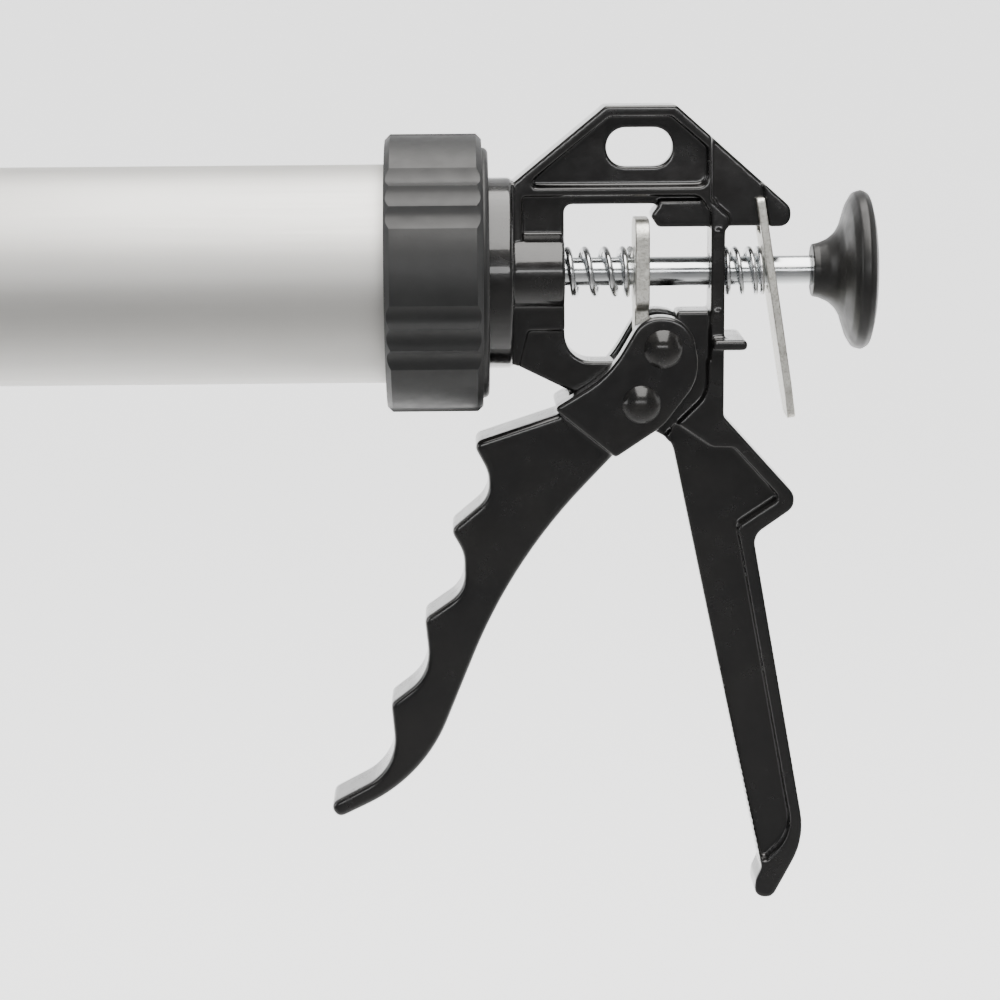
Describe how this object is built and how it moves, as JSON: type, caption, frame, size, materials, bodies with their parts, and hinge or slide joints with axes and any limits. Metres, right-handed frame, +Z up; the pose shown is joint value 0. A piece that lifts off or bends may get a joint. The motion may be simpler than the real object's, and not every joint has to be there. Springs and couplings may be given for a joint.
{
  "type": "closed-barrel caulking gun",
  "caption": "Hand caulking gun with a closed swivelling barrel, cast frame and fixed grip, finger trigger, sprung drive and release plates, push rod with knob, piston and cone nozzle.",
  "frame": {"origin": "middle of the fixed grip, where the hand closes on it, in the tool's mid-plane", "axes": "+X back along the rod to the pull knob, -X out of the nozzle, +Z up from the grip to the rod, +Y across the tool"},
  "size_m": [0.4613, 0.0752, 0.2213],
  "materials": {
    "black_powder_coat": "gloss black powder coat over a die casting",
    "anodised_tube": "satin anodised extrusion",
    "black_nylon": "satin moulded nylon",
    "natural_nylon": "smooth",
    "clear_polyethylene": "translucent white, smooth",
    "seal_rubber": "matte",
    "black_rivets": "gloss black",
    "plated_plate": "dull zinc plate on blanked steel",
    "spring_wire": "zinc-plated spring wire",
    "plated_rod": "bright zinc plate on drawn rod",
    "knob_plastic": "satin black",
    "piston_plastic": "satin moulded"
  },
  "bodies": {
    "frame": {"frame_casting": "black_powder_coat", "main_spring": "spring_wire", "release_spring": "spring_wire"},
    "barrel": {"barrel_tube": "anodised_tube", "rear_lock_ring": "black_nylon", "swivel_washer": "natural_nylon"},
    "nozzle": {"nozzle": "clear_polyethylene", "nozzle_seal": "seal_rubber"},
    "front_ring": {"front_lock_ring": "black_nylon"},
    "trigger": {"trigger": "black_powder_coat", "pivot_rivet": "black_rivets", "pusher_rivet": "black_rivets"},
    "drive_plate": {"drive_plate": "plated_plate"},
    "release_plate": {"release_plate": "plated_plate"},
    "rod": {"push_rod": "plated_rod", "knob": "knob_plastic", "knob_insert": "plated_plate", "piston_disc": "piston_plastic", "piston_seal": "seal_rubber", "backing_washer": "plated_plate", "rod_nuts": "plated_plate"}
  },
  "joints": [
    {"name": "trigger_pivot", "type": "hinge", "parent": "frame", "child": "trigger", "pos_m": [-0.0306, 0, 0.0774], "axis": [0, -1, 0], "range_deg": [0, 33], "stiffness_Nm_per_rad": 0.6, "springref_deg": -28.65},
    {"name": "drive_plate_slide", "type": "slide", "parent": "frame", "child": "drive_plate", "axis": [-1, 0, 0], "range_m": [0, 0.0093], "deforming": ["main_spring"]},
    {"name": "release_plate_pivot", "type": "hinge", "parent": "frame", "child": "release_plate", "pos_m": [0.0028, 0, 0.1312], "axis": [0, 1, 0], "range_deg": [0, 11], "stiffness_Nm_per_rad": 0.06, "springref_deg": -20.05, "deforming": ["release_spring"]},
    {"name": "rod_slide", "type": "slide", "parent": "frame", "child": "rod", "axis": [1, 0, 0], "range_m": [0, 0.21]},
    {"name": "barrel_swivel", "type": "hinge", "parent": "frame", "child": "barrel", "pos_m": [-0.078, 0, 0.112], "axis": [1, 0, 0], "continuous": true},
    {"name": "nozzle_withdraw", "type": "slide", "parent": "barrel", "child": "nozzle", "axis": [-1, 0, 0], "range_m": [0, 0.0212]},
    {"name": "front_ring_unscrew", "type": "hinge", "parent": "nozzle", "child": "front_ring", "pos_m": [-0.31, 0, 0.112], "axis": [-1, 0, 0], "range_deg": [0, 2520]}
  ],
  "couplings": [
    {"joint": "drive_plate_slide", "follows": "trigger_pivot", "m_per_rad": 0.01582},
    {"joint": "nozzle_withdraw", "follows": "front_ring_unscrew", "m_per_rad": 0.00047746}
  ]
}
